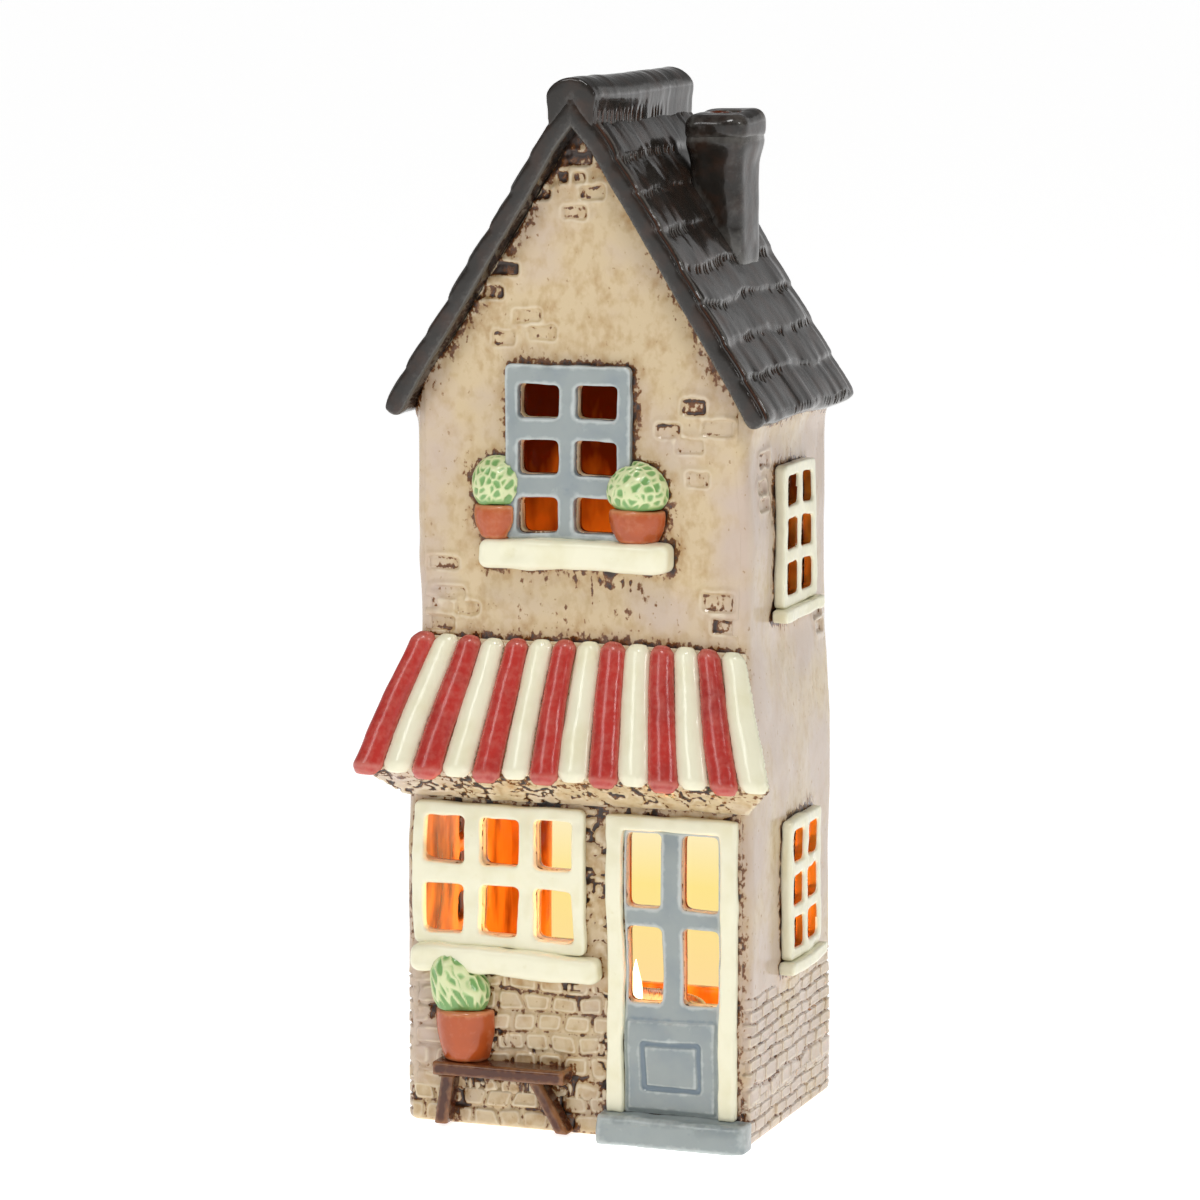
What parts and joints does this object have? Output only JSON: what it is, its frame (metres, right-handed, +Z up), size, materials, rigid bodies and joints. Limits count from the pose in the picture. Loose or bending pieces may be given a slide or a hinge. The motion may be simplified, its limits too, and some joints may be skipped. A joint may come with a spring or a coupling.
{
  "type": "ceramic shop house tealight holder",
  "caption": "Tall glazed ceramic shop house with pierced windows, striped awning and tiled roof, open at the back for a lift-out tealight.",
  "frame": {"origin": "middle of the underside of the house walls, on the table", "axes": "+Z up, -Y out of the shop front, +X to the right as seen by someone facing the shop front"},
  "size_m": [0.108, 0.0847, 0.2601],
  "materials": {
    "wall_glaze": "glossy cream stoneware glaze with brown speckle",
    "roof_glaze": "glossy charcoal glaze breaking brown on the edges",
    "soffit_glaze": "glossy mottled brown glaze",
    "red_glaze": "glossy deep red glaze",
    "ivory_glaze": "glossy ivory glaze",
    "blue_glaze": "glossy blue-grey glaze, paler on the edges",
    "terracotta_glaze": "glossy terracotta glaze",
    "leaf_glaze": "glossy green glaze with a pale network",
    "bench_glaze": "glossy dark brown glaze",
    "cup_foil": "bright drawn foil",
    "wax": "translucent paraffin wax",
    "tinned_steel": "bright tinplate",
    "wick_cotton": "charred cotton braid"
  },
  "bodies": {
    "house": {"base_slab": "wall_glaze", "front_wall": "wall_glaze", "rear_wall": "wall_glaze", "left_wall": "wall_glaze", "right_wall": "wall_glaze", "roof_left": "roof_glaze", "roof_right": "roof_glaze", "ridge_roll": "roof_glaze", "chimney_stack": "roof_glaze", "chimney_rim": "roof_glaze", "awning_canopy": "soffit_glaze", "awning_red_stripes": "red_glaze", "awning_cream_stripes": "ivory_glaze", "upper_window_sill": "ivory_glaze", "shop_window_frame": "ivory_glaze", "shop_window_sill": "ivory_glaze", "door_frame": "ivory_glaze", "left_lower_window_frame": "ivory_glaze", "left_upper_window_frame": "ivory_glaze", "right_lower_window_frame": "ivory_glaze", "right_upper_window_frame": "ivory_glaze", "left_lower_window_sill": "ivory_glaze", "left_upper_window_sill": "ivory_glaze", "right_lower_window_sill": "ivory_glaze", "right_upper_window_sill": "ivory_glaze", "upper_window_frame": "blue_glaze", "door_leaf": "blue_glaze", "door_step": "blue_glaze", "upper_left_pot": "terracotta_glaze", "upper_right_pot": "terracotta_glaze", "bench_pot": "terracotta_glaze", "upper_left_bush": "leaf_glaze", "upper_right_bush": "leaf_glaze", "bench_bush": "leaf_glaze", "bench_seat": "bench_glaze", "bench_left_leg": "bench_glaze", "bench_right_leg": "bench_glaze"},
    "tealight": {"tealight_cup": "cup_foil", "tealight_wax": "wax", "wick_sustainer": "tinned_steel", "tealight_wick": "wick_cotton"}
  },
  "joints": [
    {"name": "tealight_lift_out", "type": "slide", "parent": "house", "child": "tealight", "axis": [0, 0.766, 0.6428], "range_m": [0, 0.081]}
  ]
}
